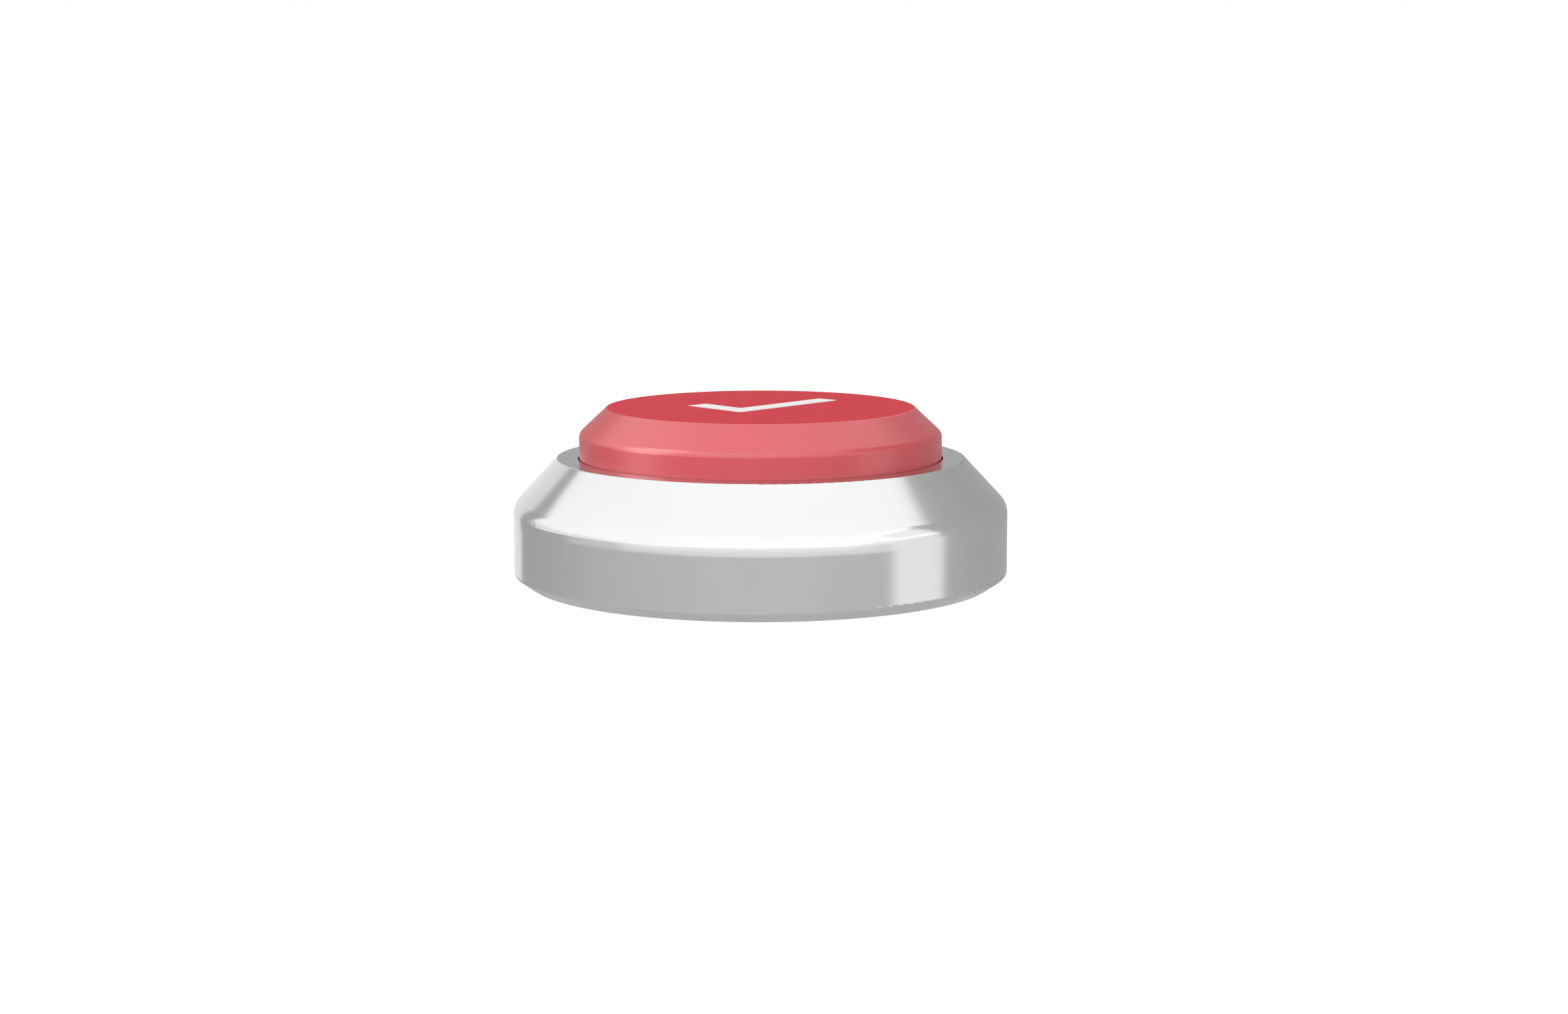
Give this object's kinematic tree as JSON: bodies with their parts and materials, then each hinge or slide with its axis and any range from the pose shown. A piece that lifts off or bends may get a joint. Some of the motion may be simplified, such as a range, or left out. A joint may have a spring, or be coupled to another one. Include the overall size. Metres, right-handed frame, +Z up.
{
  "type": "quiz buzzer",
  "caption": "Round tabletop quiz buzzer: a silver housing with a large red push cap, a sound board, a speaker and cells inside.",
  "frame": {"origin": "centre of the rest plane under the four feet, on the button's axis", "axes": "+Z up along the button's axis, against its press; -Y is the front"},
  "size_m": [0.09, 0.09, 0.0327],
  "materials": {
    "silver_coating": "satin silver coating on moulded plastic, slightly glossy",
    "red_cap": "satin-gloss moulded plastic",
    "base_plastic": "fine moulded texture",
    "foot_rubber": "matte",
    "screw_steel": "zinc plated",
    "cell_jacket": "printed jacket, semi-gloss",
    "contact_steel": "nickel plated",
    "board_laminate": "solder mask, semi-gloss",
    "black_epoxy": "matte",
    "capacitor_sleeve": "shrink sleeve",
    "resistor_body": "lacquered",
    "spring_wire": "drawn wire",
    "magnet_ferrite": "ferrite and plated yoke",
    "cone_film": "formed film",
    "gasket_card": "pressed card",
    "lead_red": "soft insulation",
    "lead_black": "soft insulation"
  },
  "bodies": {
    "housing": {"bezel": "silver_coating", "base_plate": "base_plastic", "foot_1": "foot_rubber", "foot_2": "foot_rubber", "foot_3": "foot_rubber", "foot_4": "foot_rubber", "housing_screws": "screw_steel", "pcb_screws": "screw_steel", "cell_1": "cell_jacket", "cell_2": "cell_jacket", "positive_contact": "contact_steel", "negative_contact": "contact_steel", "bridge_contact": "contact_steel", "circuit_board": "board_laminate", "sound_chip": "black_epoxy", "capacitor": "capacitor_sleeve", "resistors": "resistor_body", "switch_body": "black_epoxy", "switch_dome": "contact_steel", "switch_cover": "contact_steel", "return_spring_1": "spring_wire", "return_spring_2": "spring_wire", "return_spring_3": "spring_wire", "speaker_basket": "contact_steel", "speaker_magnet": "magnet_ferrite", "speaker_cone": "cone_film", "speaker_gasket": "gasket_card", "battery_lead_red": "lead_red", "battery_lead_black": "lead_black", "speaker_lead_red": "lead_red", "speaker_lead_black": "lead_black"},
    "button": {"push_cap": "red_cap"},
    "switch_plunger": {"switch_stem": "black_epoxy"},
    "door": {"battery_door": "base_plastic"},
    "captive_screw": {"door_screw": "screw_steel"}
  },
  "joints": [
    {"name": "button_press", "type": "slide", "parent": "housing", "child": "button", "axis": [0, 0, -1], "range_m": [0, 0.0035], "stiffness_N_per_m": 800, "springref_m": -0.003, "deforming": ["return_spring_1", "return_spring_2", "return_spring_3"]},
    {"name": "switch_press", "type": "slide", "parent": "housing", "child": "switch_plunger", "axis": [0, 0, -1], "range_m": [0, 0.0003]},
    {"name": "battery_door_hinge", "type": "hinge", "parent": "housing", "child": "door", "pos_m": [0.0253, 0.01, 0.001], "axis": [0, -1, 0], "range_deg": [0, 70]},
    {"name": "door_screw_release", "type": "slide", "parent": "door", "child": "captive_screw", "axis": [0, 0, -1], "range_m": [0, 0.003]}
  ],
  "couplings": [
    {"joint": "switch_press", "follows": "button_press", "ratio": 0.08}
  ]
}
